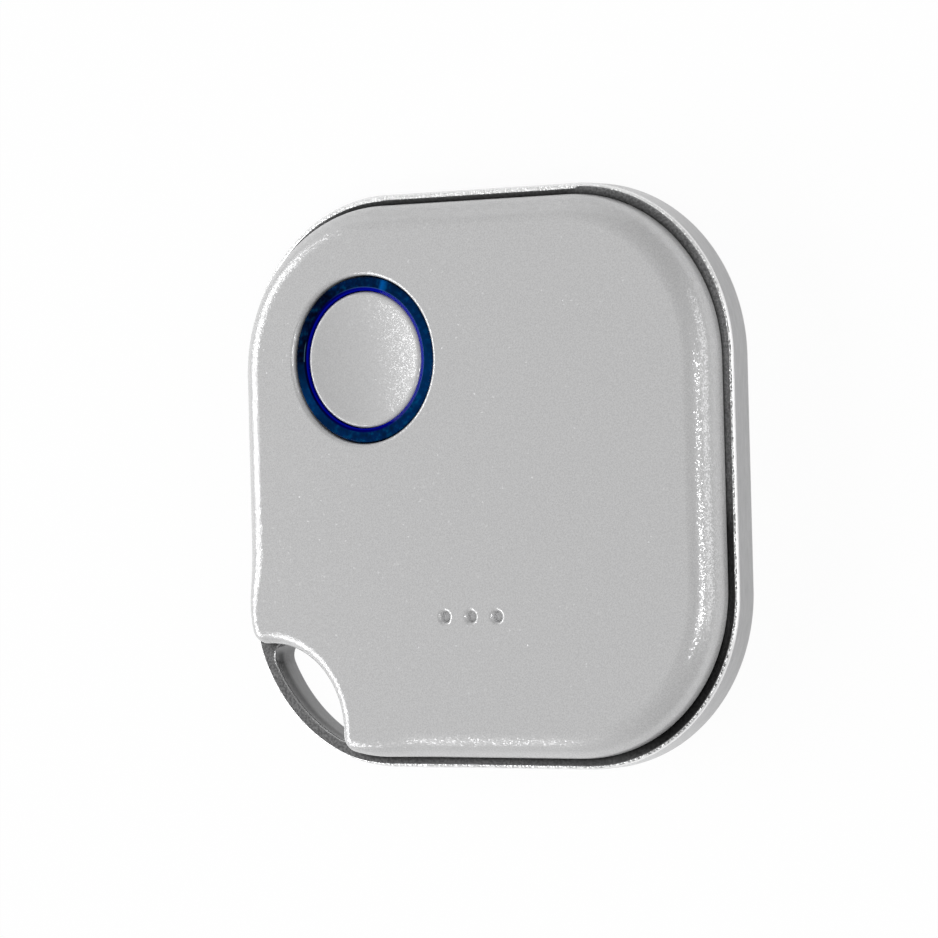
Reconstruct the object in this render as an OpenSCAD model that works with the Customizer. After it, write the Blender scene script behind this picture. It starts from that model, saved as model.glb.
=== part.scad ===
// Key-fob smart button with a light ring, a sounder, a coin cell and a sliding back cover.
// Millimetres. X to the right, Y to the top edge of the face, Z out of the face; the back lies on Z = 0.

/* [Case] */
// how much wider than the cell the frame is
case_room = 16; // [15.5:0.5:20]
// thickness over both shells
body_t = 6; // [6:0.05:6.6]
// corner radius of the frame
corner_r = 10.9; // [10:0.1:11.4]
// step from the frame's side in to the shells
shell_inset = 0.7; // [0.6:0.05:0.8]
// how much smaller the shells' corner radius is than the frame's
corner_ease = 0.5; // [0.3:0.05:0.7]
// edge radius of the shells
edge_r = 1.7; // [1.3:0.05:1.7]
// front wall thickness
front_wall = 1; // [0.9:0.05:1]
// side wall thickness of the front shell
side_wall = 1.3; // [1.2:0.05:1.4]

/* [Frame] */
// frame height
belt_h = 2.2; // [2.1:0.05:2.2]
// frame wall thickness
belt_wall = 1.1; // [1:0.05:1.2]
// front edge radius of the frame
belt_front_r = 0.3; // [0.2:0.05:0.4]
// back edge radius of the frame
belt_back_r = 0.5; // [0.3:0.05:0.6]
// reach of the cover rail inside the frame wall
rail_w = 1.5; // [1.4:0.05:1.6]
// thickness of the cover rail
rail_t = 0.4; // [0.35:0.05:0.45]

/* [Key eye] */
// distance of the notch centre in from the frame's two sides
notch_in = 2.4; // [2.2:0.05:2.6]
// radius of the notch
notch_r = 5.45; // [5.2:0.05:5.6]
// rounding where the notch meets the outline
notch_blend = 1.1; // [1:0.05:1.3]
// edge radius along the notch
notch_edge_r = 0.9; // [0.7:0.05:0.95]
// length of side over which the edge radius changes
notch_run = 3; // [1.5:0.1:4]
// width of the bar that closes the eye
loop_w = 0.75; // [0.7:0.05:0.9]
// radius of the two tips of the eye
eye_tip = 0.9; // [0.6:0.05:1.1]
// frame wall behind the notch
notch_wall = 0.9; // [0.8:0.05:1]

/* [Button] */
// distance of the button centre in from the frame's two sides
button_in = 10.35; // [10.2:0.05:10.5]
// inner radius of the light ring
ring_in_r = 4.33; // [4:0.01:4.8]
// width of the light ring
ring_w = 0.85; // [0.7:0.05:1]
// reach of the ring's flange behind the face
ring_lip = 0.82; // [0.7:0.02:0.9]
// width of the bevel inside the light ring
ring_bevel = 0.22; // [0.16:0.01:0.26]
// fall of that bevel
ring_bevel_d = 0.06; // [0.04:0.01:0.08]
// rounding of the face round the ring
ring_rim = 0.25; // [0.15:0.05:0.3]
// depth of the ring's face below the front
ring_drop = 0.2; // [0.1:0.05:0.3]
// depth of the button's rim below the front
cap_drop = 0.3; // [0.2:0.05:0.35]
// depth of the button's dish
dish_d = 0.35; // [0.2:0.05:0.45]
// thickness of the button's flange
cap_flange_t = 0.3; // [0.2:0.05:0.3]
// travel of the button
press_travel = 0.2; // [0.15:0.01:0.22]
// lamps round the button
led_count = 3; // [1:1:3]

/* [Sound holes] */
// distance of the holes up from the frame's lower side
sound_up = 9.5; // [9:0.1:10]
// spacing of the holes
sound_pitch = 1.93; // [1.6:0.01:2.1]
// radius of a hole
sound_r = 0.32; // [0.28:0.01:0.36]
// rounding of a hole's rim
sound_rim = 0.2; // [0.12:0.01:0.22]
// thickness left at the holes
sound_wall = 0.5; // [0.45:0.05:0.6]
// radius of the sounder's plate
plate_r = 6; // [5.6:0.1:6.2]

/* [Board and cell] */
// board thickness
board_t = 0.8; // [0.7:0.05:0.8]
// cell diameter
cell_d = 20; // [19.8:0.1:20]
// cell height
cell_h = 3.2; // [3:0.05:3.2]
// width of board left at the right of the cell
cell_side = 2.2; // [2:0.1:2.6]
// width of board left below the cell
cell_foot = 2.8; // [2.4:0.1:3]
// screws: shank radius
screw_r = 0.5; // [0.4:0.05:0.5]

/* [Back cover] */
// floor thickness of the cover
cover_floor = 0.8; // [0.75:0.05:0.8]
// side wall thickness of the cover
cover_wall = 1.1; // [1:0.05:1.2]
// height at which the frame starts
belt_z0 = 1.8; // [1.75:0.05:1.8]
// travel of the cover
cover_travel = 3; // [2.6:0.1:3]
// length of a hook
hook_l = 2.4; // [2:0.1:2.4]
// depth of the thumb grip
grip_d = 0.3; // [0.2:0.05:0.35]

/* [Clearances] */
// gap between sliding faces
slide_gap = 0.05; // [0.04:0.01:0.06]
// gap round a running shaft
run_gap = 0.05; // [0.03:0.01:0.06]
// gap round fixed pieces
fit_gap = 0.1; // [0.08:0.01:0.12]
// gap at a sprung contact
touch_gap = 0.02; // [0.01:0.01:0.03]

/* [Hidden] */
$fn = 48;
half = (cell_d + case_room) / 2;
notch_c = half - notch_in;
notch_p = [-notch_c, -notch_c];
button_p = [button_in - half, half - button_in];
sound_p = [0, sound_up - half];
ring_r = ring_in_r + ring_w;
shell_half = half - shell_inset;
shell_r = corner_r - corner_ease;
belt_z1 = belt_z0 + belt_h;
belt_in = half - belt_wall;
rail_in = belt_in - rail_w;
rail_z1 = belt_z0 + rail_t;
cover_z1 = belt_z0 - slide_gap;
hook_z0 = rail_z1 + slide_gap;
hook_z1 = hook_z0 + 0.45;
board_z0 = hook_z1 + fit_gap;
board_z1 = board_z0 + board_t;
board_half = shell_half - side_wall - 2 * fit_gap;
inner_z = body_t - front_wall;
cell_r = cell_d / 2;
cell_z0 = cover_floor + 0.15;
cell_z1 = cell_z0 + cell_h;
cutout_r = cell_r + 0.4;
cell_p = [board_half - cell_side - cutout_r, cell_foot + cutout_r - board_half];
screw_pts = [[half - 6.8, half - 6.8], [half - 6.4, 5.6 - half], [4 - half, 0.9]];
lug_turn = [45, -50, 180];
head_r = screw_r + 0.5;
seat_z = belt_z0 + 0.5;
boss_r = screw_r + 1;
led_r = ring_r + 0.22;
led_h = 0.6;
led_z1 = board_z1 + led_h;
ring_flange_z = inner_z - 0.25;
ring_z1 = body_t - ring_drop;
cap_z1 = body_t - cap_drop;
cap_r = ring_in_r - run_gap;
cap_top_in = ring_flange_z - slide_gap;
cap_z0 = cap_top_in - cap_flange_t;
plate_z = inner_z - 0.25;
ceramic_z = plate_z - 0.2;
switch_z1 = board_z1 + press_travel + 0.35;
stem_z = switch_z1 + press_travel + 0.2;
hook_y = [3.2, -6.8];
hook_x = rail_in - fit_gap;

// Outline of the shells: tangent arcs, each point with its outward normal and its edge radius.
shell_c = shell_half - shell_r;
axis_d = (notch_c - shell_c) * sqrt(2);
blend_d = shell_r - notch_blend;
blend_e = notch_r + notch_blend;
blend_a = acos((blend_d * blend_d + axis_d * axis_d - blend_e * blend_e) / (2 * blend_d * axis_d));
meet_a = acos((blend_e * blend_e + axis_d * axis_d - blend_d * blend_d) / (2 * blend_e * axis_d));
run_l = notch_run + shell_r * (45 - blend_a) * PI / 180;

function ease(t) = t * t * (3 - 2 * t);
function edge_at(run) = edge_r + (notch_edge_r - edge_r) * ease(run / run_l);
function spoke(c, r, a, s, e) = [c[0] + r * cos(a), c[1] + r * sin(a), s * cos(a), s * sin(a), e];
function arc(c, r, a0, a1, i0, n, s, e) = [for (i = [i0:n]) spoke(c, r, a0 + (a1 - a0) * i / n, s, e)];
function swap(p) = [p[1], p[0], p[3], p[2], p[4]];
function half_notch() = concat(
    [for (i = [0:3]) [-shell_half, -shell_c + notch_run * (1 - i / 4), -1, 0, edge_at(notch_run * i / 4)]],
    [for (i = [0:3]) let(a = (45 - blend_a) * i / 4)
        spoke([-shell_c, -shell_c], shell_r, 180 + a, 1, edge_at(notch_run + shell_r * a * PI / 180))],
    arc([-shell_c + blend_d * cos(225 - blend_a), -shell_c + blend_d * sin(225 - blend_a)],
        notch_blend, 225 - blend_a, 225 + meet_a, 0, 5, 1, notch_edge_r),
    arc(notch_p, notch_r, 45 + meet_a, 45, 1, 5, -1, notch_edge_r));
function outline() = let(h = half_notch(), n = len(h)) concat(
    arc([shell_c, -shell_c], shell_r, 270, 360, 0, 10, 1, edge_r),
    arc([shell_c, shell_c], shell_r, 0, 90, 0, 10, 1, edge_r),
    arc([-shell_c, shell_c], shell_r, 90, 180, 0, 10, 1, edge_r),
    h, [for (i = [n - 2:-1:0]) swap(h[i])]);

// Solid pebble from a flat seat at z0 up to its face at z1, with the edge radius of each outline point.
module pebble(z0, z1) {
    o = outline();
    n = len(o);
    steps = 6;
    rows = concat([[for (p = o) [p[0], p[1], z0]]],
        [for (k = [0:steps]) let(a = 90 * k / steps)
            [for (p = o) [p[0] - p[2] * p[4] * (1 - cos(a)), p[1] - p[3] * p[4] * (1 - cos(a)),
                z1 - p[4] * (1 - sin(a))]]]);
    m = len(rows);
    points = concat([for (r = rows) each r], [[0, 0, z0], [0, 0, z1]]);
    side = [for (k = [0:m - 2], i = [0:n - 1]) let(j = (i + 1) % n)
        each [[k * n + i, (k + 1) * n + i, (k + 1) * n + j], [k * n + i, (k + 1) * n + j, k * n + j]]];
    floor_fan = [for (i = [0:n - 1]) [m * n, i, (i + 1) % n]];
    face_fan = [for (i = [0:n - 1]) [m * n + 1, (m - 1) * n + (i + 1) % n, (m - 1) * n + i]];
    polyhedron(points, concat(side, floor_fan, face_fan), convexity = 6);
}

// Square with round corners, of half side a.
module soft_square(a, r) {
    square([2 * a, 2 * (a - r)], center = true);
    square([2 * (a - r), 2 * a], center = true);
    for (x = [-1, 1], y = [-1, 1]) {
        translate([x * (a - r), y * (a - r)]) circle(r);
    }
}

// The same, less a round corner at the notch.
module notched(a, r, nr) {
    difference() {
        soft_square(a, r);
        translate(notch_p) circle(nr);
    }
}

// Half section of a slab with both outer edges rounded.
module slab_section(w, z0, z1, e0, e1) {
    difference() {
        translate([0, z0]) square([w, z1 - z0]);
        translate([w - e1, z1 - e1]) difference() {
            square(e1 + 1);
            circle(e1);
        }
        translate([w - e0, z0 + e0]) mirror([0, 1]) difference() {
            square(e0 + 1);
            circle(e0);
        }
    }
}

module slab(a, r, z0, z1, e0, e1) {
    c = a - r;
    translate([-c, -c, z0]) cube([2 * c, 2 * c, z1 - z0]);
    for (k = [0:3]) rotate(90 * k) {
        translate([c, c, 0]) rotate_extrude(angle = 90) slab_section(r, z0, z1, e0, e1);
        translate([c, c, 0]) rotate([90, 0, 0]) linear_extrude(2 * c) slab_section(r, z0, z1, e0, e1);
    }
}

// Cutter that rounds the rim of a hole of radius r at height z.
module rim_cut(r, z, e) {
    rotate_extrude() difference() {
        translate([0, z - e]) square([r + e, e + 0.1]);
        translate([r + e, z - e]) circle(e);
    }
}

// Flat tube.
module hoop(r1, r0, z0, z1) {
    translate([0, 0, z0]) difference() {
        cylinder(r = r1, h = z1 - z0);
        translate([0, 0, -1]) cylinder(r = r0, h = z1 - z0 + 2);
    }
}

module box(p, s, z0, z1) {
    translate([p[0] - s[0] / 2, p[1] - s[1] / 2, z0]) cube([s[0], s[1], z1 - z0]);
}

module rod(p, r, z0, z1) {
    translate([p[0], p[1], z0]) cylinder(r = r, h = z1 - z0);
}

module at_button() {
    translate([button_p[0], button_p[1], 0]) children();
}

// Places round the button for the lamps, on the side away from the cell.
module lamps() {
    for (k = [0:led_count - 1]) rotate(135 + 90 * (k - (led_count - 1) / 2)) children();
}

module front_shell() color([0.74, 0.74, 0.75]) {
    inner = shell_half - side_wall;
    skirt = belt_in - fit_gap;
    difference() {
        union() {
            difference() {
                union() {
                    pebble(belt_z1, body_t);
                    translate([0, 0, belt_z1 - 0.5]) linear_extrude(0.6)
                        notched(skirt, corner_r - half + skirt, notch_r + notch_wall + fit_gap);
                }
                translate([0, 0, belt_z1 - 1]) linear_extrude(inner_z - belt_z1 + 1)
                    notched(inner, shell_r - side_wall, notch_r + side_wall);
            }
            for (p = screw_pts) rod(p, boss_r, board_z1, inner_z + 0.2);
        }
        rod(button_p, ring_r + fit_gap, inner_z - 1, body_t + 1);
        at_button() rim_cut(ring_r + fit_gap, body_t, ring_rim);
        rod(sound_p, 2 * sound_pitch, inner_z - 1, body_t - sound_wall);
        for (k = [-1:1]) translate([k * sound_pitch, sound_p[1], 0]) {
            rod([0, 0], sound_r, inner_z, body_t + 1);
            rim_cut(sound_r, body_t, sound_rim);
        }
        for (p = screw_pts) rod(p, screw_r + 0.02, board_z1 - 1, inner_z - 0.1);
    }
}

module lug(p, turn) {
    intersection() {
        translate([0, 0, belt_z0]) linear_extrude(board_z0 - belt_z0) union() {
            translate(p) circle(head_r + 0.8);
            translate(p) rotate(turn) translate([0, -head_r]) square([8, 2 * head_r]);
        }
        translate([0, 0, belt_z0 - 1]) linear_extrude(4)
            soft_square(belt_in + 0.3, corner_r - belt_wall + 0.3);
    }
}

// Opening of the key eye: the notch on one side, the bar on the other and round tips between them.
module eye() {
    c = corner_r - half;
    bar = corner_r - loop_w - eye_tip;
    arm = notch_r - eye_tip;
    d = (notch_c + c) * sqrt(2);
    a = acos((bar * bar + d * d - arm * arm) / (2 * bar * d));
    b = acos((arm * arm + d * d - bar * bar) / (2 * arm * d));
    difference() {
        intersection() {
            translate(notch_p) circle(notch_r);
            soft_square(half - loop_w, corner_r - loop_w);
        }
        for (s = [-1, 1]) translate([c + bar * cos(225 + s * a), c + bar * sin(225 + s * a)])
            rotate(225 + s * (90 + (a - b) / 2)) translate([eye_tip * cos(90 - (a + b) / 2), -2])
                square([3, 4]);
    }
    for (s = [-1, 1]) translate([c + bar * cos(225 + s * a), c + bar * sin(225 + s * a)]) circle(eye_tip);
}

module mid_frame() color([0.62, 0.63, 0.65]) difference() {
    union() {
        difference() {
            slab(half, corner_r, belt_z0, belt_z1, belt_back_r, belt_front_r);
            translate([0, 0, rail_z1]) linear_extrude(belt_h)
                notched(belt_in, corner_r - belt_wall, notch_r + notch_wall);
            translate([0, 0, belt_z0 - 1]) linear_extrude(belt_h)
                notched(rail_in, corner_r - belt_wall - rail_w, notch_r + notch_wall);
            translate([0, 0, belt_z0 - 1]) linear_extrude(belt_h + 2) eye();
            for (s = [-1, 1], y = hook_y) {
                box([s * (rail_in + 0.25), y + cover_travel + hook_l / 2], [1.3, hook_l + 2 * fit_gap],
                    belt_z0 - 1, rail_z1 + 0.5);
            }
        }
        for (i = [0:2]) lug(screw_pts[i], lug_turn[i]);
    }
    for (p = screw_pts) {
        rod(p, head_r + fit_gap, belt_z0 - 1, seat_z);
        rod(p, screw_r + run_gap, seat_z - 0.5, board_z0 + 1);
    }
}

module hook(side, y) {
    box([side * (hook_x - 0.35), y + hook_l / 2], [0.7, hook_l], cover_floor - 0.3, hook_z1);
    box([side * hook_x, y + hook_l / 2], [1.4, hook_l], hook_z0, hook_z1);
}

module back_cover() color([0.72, 0.72, 0.73]) difference() {
    union() {
        difference() {
            translate([0, 0, cover_z1]) mirror([0, 0, 1]) pebble(0, cover_z1);
            translate([0, 0, cover_floor]) linear_extrude(belt_z0)
                notched(shell_half - cover_wall, shell_r - cover_wall, notch_r + cover_wall);
        }
        for (s = [-1, 1], y = hook_y) hook(s, y);
    }
    difference() {
        translate([0, 7.5 - half, -1]) linear_extrude(1 + grip_d) union() {
            square([8, 4.4], center = true);
            for (s = [-4, 4]) translate([s, 0]) circle(2.2);
        }
        for (y = [6:9]) box([0, y - half], [9.6, 0.4], 0.05, 1);
    }
}

module light_ring() color([0.05, 0.1, 0.36]) at_button() {
    rotate_extrude() {
        difference() {
            translate([ring_in_r, ring_flange_z]) square([ring_w, ring_z1 - ring_flange_z]);
            translate([ring_r - 0.1, ring_z1 - 0.1]) difference() {
                square(0.3);
                circle(0.1);
            }
            translate([ring_in_r, ring_z1 - ring_bevel_d]) rotate(atan2(ring_bevel_d, ring_bevel)) square(1);
        }
        translate([ring_in_r, ring_flange_z]) square([ring_w + ring_lip, inner_z - ring_flange_z]);
    }
    lamps() rod([led_r, 0], 0.45, led_z1 + slide_gap, ring_flange_z + 0.1);
}

module button_cap() color([0.76, 0.76, 0.77]) at_button() {
    e = 0.15;
    chord = cap_r - 0.3;
    dish_r = (chord * chord + dish_d * dish_d) / (2 * dish_d);
    rotate_extrude() difference() {
        union() {
            translate([0, cap_z0]) square([cap_r, cap_z1 - e - cap_z0]);
            translate([0, cap_z0]) square([cap_r - e, cap_z1 - cap_z0]);
            translate([cap_r - e, cap_z1 - e]) circle(e);
            translate([0, cap_z0]) square([ring_in_r + 0.42, cap_flange_t]);
        }
        translate([0, cap_z1 - dish_d + dish_r]) circle(dish_r, $fn = 180);
        translate([0.9, cap_z0 - 1]) square([cap_r - 1.6, inner_z - cap_z0 + 1]);
        translate([0, cap_z0 - 1]) square([1, stem_z + touch_gap - cap_z0 + 1]);
        translate([-2, cap_z0 - 1]) square([2, 4]);
    }
}

module main_board() color([0.06, 0.28, 0.16]) translate([0, 0, board_z0])
    linear_extrude(board_t) difference() {
        notched(board_half, shell_r - shell_half + board_half, notch_r + side_wall + 2 * fit_gap);
        translate(cell_p) circle(cutout_r);
        for (p = screw_pts) translate(p) circle(screw_r + fit_gap);
    }

module switch_base() color([0.1, 0.1, 0.1]) difference() {
    box(button_p, [3.2, 3.2], board_z1, switch_z1);
    rod(button_p, 1.3, board_z1 + 0.1, switch_z1 + 1);
}

module switch_cover() color([0.72, 0.73, 0.74]) difference() {
    box(button_p, [3.2, 3.2], switch_z1, switch_z1 + 0.1);
    rod(button_p, 0.8 + run_gap, switch_z1 - 1, switch_z1 + 1);
}

module switch_dome() color([0.8, 0.78, 0.7]) at_button() {
    rise = press_travel + 0.07;
    bow = (1.25 * 1.25 + rise * rise) / (2 * rise);
    rotate_extrude() intersection() {
        translate([0, board_z1 + 0.1 + rise - bow]) difference() {
            circle(bow, $fn = 180);
            circle(bow - 0.06, $fn = 180);
        }
        translate([0, board_z1 + 0.1]) square([1.25, 2 * rise]);
    }
}

module switch_plunger() color([0.15, 0.15, 0.16]) {
    rod(button_p, 0.8, switch_z1 - 0.15, stem_z);
    rod(button_p, 1.15, switch_z1 - 0.17, switch_z1 - 0.03);
}

module ring_leds() color([0.93, 0.92, 0.85]) at_button() lamps() box([led_r, 0], [1, 1], board_z1, led_z1);

module radio_chip() color([0.08, 0.08, 0.09])
    box([cell_p[0] + 0.2, board_half - 3.6], [4, 4], board_z1, board_z1 + 0.75);

module clock_crystal() color([0.78, 0.78, 0.76])
    box([cell_p[0] + 4.1, board_half - 3.1], [2, 1.6], board_z1, board_z1 + 0.5);

module board_passives() color([0.55, 0.42, 0.28]) {
    x = cell_p[0];
    for (p = [[x - 3, 2.6], [x - 3, 4.2], [x + 3.4, 6.2], [x + 5.2, 6.2], [board_half - 1.4, 10.6],
        [board_half - 1.4, 13.6], [4.2 - board_half, 16.4], [6.2 - board_half, 15.4]])
        box([p[0], board_half - p[1]], [0.5, 1], board_z1, board_z1 + 0.5);
}

module board_antenna() color([0.78, 0.5, 0.28]) translate([1.2 - board_half, cell_p[1] - 5, board_z1])
    linear_extrude(0.06) union() {
        for (k = [0:4]) translate([0.8 * k, 0]) square([0.3, 5]);
        for (k = [0:1]) translate([1.6 * k, 4.7]) square([1.1, 0.3]);
        for (k = [0:1]) translate([0.8 + 1.6 * k, 0]) square([1.1, 0.3]);
    }

module sound_mesh() color([0.5, 0.5, 0.51])
    rod(sound_p, 2 * sound_pitch - fit_gap, body_t - sound_wall - 0.08, body_t - sound_wall);

module buzzer_gasket() color([0.12, 0.12, 0.12])
    translate([0, sound_p[1], 0]) hoop(plate_r, plate_r - 1, plate_z, inner_z);

module buzzer_plate() color([0.8, 0.65, 0.3]) rod(sound_p, plate_r, plate_z - 0.1, plate_z);

module buzzer_ceramic() color([0.86, 0.86, 0.84]) rod(sound_p, plate_r - 1.8, ceramic_z, ceramic_z + 0.1);

module buzzer_contacts() color([0.82, 0.72, 0.45]) {
    foot = [1.3 - plate_r, sound_p[1] - 4];
    box(foot, [1.2, 1], board_z1, board_z1 + 0.12);
    box(foot, [0.3, 1], board_z1, ceramic_z - touch_gap);
    box([foot[0] + 1, foot[1] + 0.35], [2.3, 0.3], ceramic_z - touch_gap - 0.12, ceramic_z - touch_gap);
    box([foot[0] + 2, foot[1] + 0.85], [0.3, 1.3], ceramic_z - touch_gap - 0.12, ceramic_z - touch_gap);
    box([-2.4, sound_p[1] - plate_r + 1], [1, 0.7], board_z1, board_z1 + 0.12);
    box([-2.4, sound_p[1] - plate_r + 1], [0.3, 0.7], board_z1, plate_z - 0.1 - touch_gap);
}

module cell_can() color([0.76, 0.76, 0.76]) translate([cell_p[0], cell_p[1], 0]) rotate_extrude() union() {
    translate([0, cell_z0]) square([cell_r - 0.5, 0.25]);
    translate([cell_r - 0.25, cell_z0 + 0.5]) square([0.25, cell_h - 1]);
    translate([cell_r - 0.9, cell_z1 - 0.5]) square([0.9, 0.2]);
    intersection() {
        translate([cell_r - 0.5, cell_z0 + 0.5]) difference() {
            circle(0.5);
            circle(0.25);
        }
        translate([cell_r - 0.5, cell_z0]) square(0.5);
    }
}

module cell_cap() color([0.7, 0.7, 0.71]) translate([cell_p[0], cell_p[1], 0]) rotate_extrude() union() {
    translate([0, cell_z1 - 0.25]) square([cell_r - 1.3, 0.25]);
    translate([cell_r - 1.55, cell_z1 - 0.9]) square([0.25, 0.9]);
}

module cell_gasket() color([0.85, 0.85, 0.8]) translate([cell_p[0], cell_p[1], 0])
    hoop(cell_r - 0.95, cell_r - 1.3, cell_z1 - 0.9, cell_z1 - 0.25);

module cell_core() color([0.16, 0.16, 0.17]) translate([cell_p[0], cell_p[1], 0])
    rod([0, 0], cell_r - 0.9, cell_z0 + 0.25, cell_z1 - 0.9);

module cell_clip() color([0.8, 0.8, 0.78]) translate([cell_p[0], cell_p[1], 0]) rotate(52) {
    rotate_extrude(angle = 16) translate([cell_r + touch_gap, board_z0 - 0.6])
        square([0.2, board_t + 0.75]);
    rotate_extrude(angle = 16) translate([cell_r + touch_gap, board_z1]) square([2.2, 0.15]);
}

module cell_leaf() color([0.8, 0.8, 0.78]) {
    x0 = cell_p[0] - cutout_r;
    z0 = cell_z1 + touch_gap + 0.05;
    box([x0 - 1.7, cell_p[1]], [2.6, 3], board_z1, board_z1 + 0.15);
    box([x0 - 0.475, cell_p[1]], [0.15, 3], board_z1, z0 + 0.15);
    box([x0 + 5.725, cell_p[1]], [12.55, 3], z0, z0 + 0.15);
    rod(cell_p, 0.6, cell_z1 + touch_gap, z0 + 0.1);
}

module case_screws() color([0.45, 0.45, 0.46]) for (p = screw_pts) difference() {
    union() {
        rod(p, head_r, belt_z0 + slide_gap, seat_z);
        rod(p, screw_r, seat_z - 0.1, inner_z - 0.3);
    }
    for (a = [0, 90]) translate([p[0], p[1], 0]) rotate(a)
        box([0, 0], [1.1, 0.25], belt_z0 - 1, belt_z0 + 0.3);
}

front_shell();
mid_frame();
back_cover();
light_ring();
button_cap();
main_board();
switch_base();
switch_cover();
switch_dome();
switch_plunger();
ring_leds();
radio_chip();
clock_crystal();
board_passives();
board_antenna();
sound_mesh();
buzzer_gasket();
buzzer_plate();
buzzer_ceramic();
buzzer_contacts();
cell_can();
cell_cap();
cell_gasket();
cell_core();
cell_clip();
cell_leaf();
case_screws();
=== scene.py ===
import math

import bmesh
import bpy
from bpy.props import FloatProperty, FloatVectorProperty, PointerProperty
from bpy.types import Operator, Panel, PropertyGroup
from mathutils import Matrix, Vector


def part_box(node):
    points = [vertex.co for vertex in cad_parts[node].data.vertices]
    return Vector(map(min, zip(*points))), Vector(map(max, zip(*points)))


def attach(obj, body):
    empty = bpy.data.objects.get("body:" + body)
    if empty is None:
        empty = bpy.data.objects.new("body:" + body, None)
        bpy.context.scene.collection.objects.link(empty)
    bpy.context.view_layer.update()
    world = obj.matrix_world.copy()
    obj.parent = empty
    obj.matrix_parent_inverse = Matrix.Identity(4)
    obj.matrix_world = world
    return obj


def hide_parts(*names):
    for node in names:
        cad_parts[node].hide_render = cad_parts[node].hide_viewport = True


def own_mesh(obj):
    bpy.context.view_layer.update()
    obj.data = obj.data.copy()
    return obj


bl_info = {
    "name": "Key-fob smart button",
    "version": (1, 0, 0),
    "blender": (4, 5, 0),
    "location": "3D View > Sidebar > Smart button",
    "description": "Builds the shells, frame, light ring and button of a key-fob smart button",
    "category": "Object",
}

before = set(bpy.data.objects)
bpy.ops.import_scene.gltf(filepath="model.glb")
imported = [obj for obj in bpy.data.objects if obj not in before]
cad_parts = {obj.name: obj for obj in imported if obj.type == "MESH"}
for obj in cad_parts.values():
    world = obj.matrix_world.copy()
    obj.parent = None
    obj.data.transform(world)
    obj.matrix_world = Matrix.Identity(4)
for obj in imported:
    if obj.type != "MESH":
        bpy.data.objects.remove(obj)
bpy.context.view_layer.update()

# Shapes are drawn in millimetres and set to metres when a piece is finished.
MM = 0.001
Z_AXIS = (0.0, 0.0, 1.0)
LATHE_AXIS = (0.0, -1.0, 0.0)
QUARTER = math.pi / 2
NOTCH_WAY = math.radians(225)
SHARP = math.radians(35)
MERGE = 1e-4
NEAR = 0.01

# Fixed sizes in millimetres
CLEAR = 1.0
OVERLAP = 0.1
FIT_GAP = 0.1
RUN_GAP = 0.05
FACE_WALL = 1.0
FRONT_WALL = 1.3
SKIRT_INSET = 1.2
SKIRT_NOTCH = 1.0
SKIRT_DEPTH = 0.5
RING_RIM = 0.25
SOUND_SEAT = 3.86
SOUND_WALL = 0.5
HOLE_RIM = 0.26
BOSS_BORE = 0.52
BOSS_RADIUS = 1.5
COVER_WALL = 1.1
COVER_FLOOR = 0.8
COVER_TRAVEL = 3.0
HOOK_ROWS = (3.2, -6.8)
HOOK_LENGTH = 2.4
FRAME_WALL = 1.1
RAIL_WIDTH = 1.5
RAIL_THICK = 0.4
EYE_WALL = 0.9
LUG_RADIUS = 1.8
LUG_HEIGHT = 1.0
SCREW_HEAD = 1.1
SCREW_SHANK = 0.55

# Shares of the white background that camera rays and mirror rays see
FLOOR_SEEN = (0.95, 0.28)
ROOM_SEEN = (1.0, 0.1)
FLOOR_DROP = 0.00003

# Settings that the properties share
LENGTH = {"unit": "LENGTH", "precision": 5}
COLOUR = {"subtype": "COLOR", "size": 4, "min": 0, "max": 1}
POWER = {"unit": "POWER", "min": 0}


def low_z(node):
    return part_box(node)[0][2]


def high_z(node):
    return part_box(node)[1][2]


class CaseSizes(PropertyGroup):
    """Sizes of the case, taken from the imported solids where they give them."""

    half: FloatProperty(name="Half width", description="Half the side of the square frame",
                        default=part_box("mid_frame")[1][0], **LENGTH)
    corner: FloatProperty(name="Frame corner", description="Corner radius of the frame", default=0.0109, **LENGTH)
    shell_half: FloatProperty(name="Shell half width", description="Half the side of the shells",
                              default=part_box("front_shell")[1][0], **LENGTH)
    shell_corner: FloatProperty(name="Shell corner", description="Corner radius of the shells",
                                default=0.0104, **LENGTH)
    face_z: FloatProperty(name="Face height", description="Height of the front face",
                          default=high_z("front_shell"), **LENGTH)
    edge: FloatProperty(name="Shell edge", description="Edge radius of the shells", default=0.0017, **LENGTH)
    notch_edge: FloatProperty(name="Notch edge", description="Edge radius of the shells along the notch",
                              default=0.0009, **LENGTH)
    notch_place: FloatProperty(name="Notch place",
                               description="Distance of the notch centre from the middle, along X and Y",
                               default=0.0156, **LENGTH)
    notch: FloatProperty(name="Notch radius", description="Radius of the notch", default=0.00545, **LENGTH)
    blend: FloatProperty(name="Notch blend", description="Rounding where the notch meets the outline",
                         default=0.0011, **LENGTH)
    bar: FloatProperty(name="Bar width", description="Width of the bar that closes the key eye",
                       default=0.00075, **LENGTH)
    eye_tip: FloatProperty(name="Eye tips", description="Radius of the two tips of the key eye",
                           default=0.0009, **LENGTH)
    button_place: FloatProperty(name="Button place",
                                description="Distance of the button centre from the middle, along X and Y",
                                default=0.00765, **LENGTH)
    ring_outer: FloatProperty(name="Ring radius", description="Outer radius of the light ring",
                              default=0.00518, **LENGTH)
    ring_inner: FloatProperty(name="Ring bore", description="Inner radius of the light ring",
                              default=0.00433, **LENGTH)
    dish: FloatProperty(name="Dish depth", description="Depth of the button's dish", default=0.00035, **LENGTH)
    hole: FloatProperty(name="Sound hole", description="Radius of a sound hole", default=0.00032, **LENGTH)
    hole_pitch: FloatProperty(name="Hole spacing", description="Distance between sound holes",
                              default=0.00193, **LENGTH)
    hole_y: FloatProperty(name="Hole height", description="Place of the sound holes along Y",
                          default=-0.0085, **LENGTH)


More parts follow.
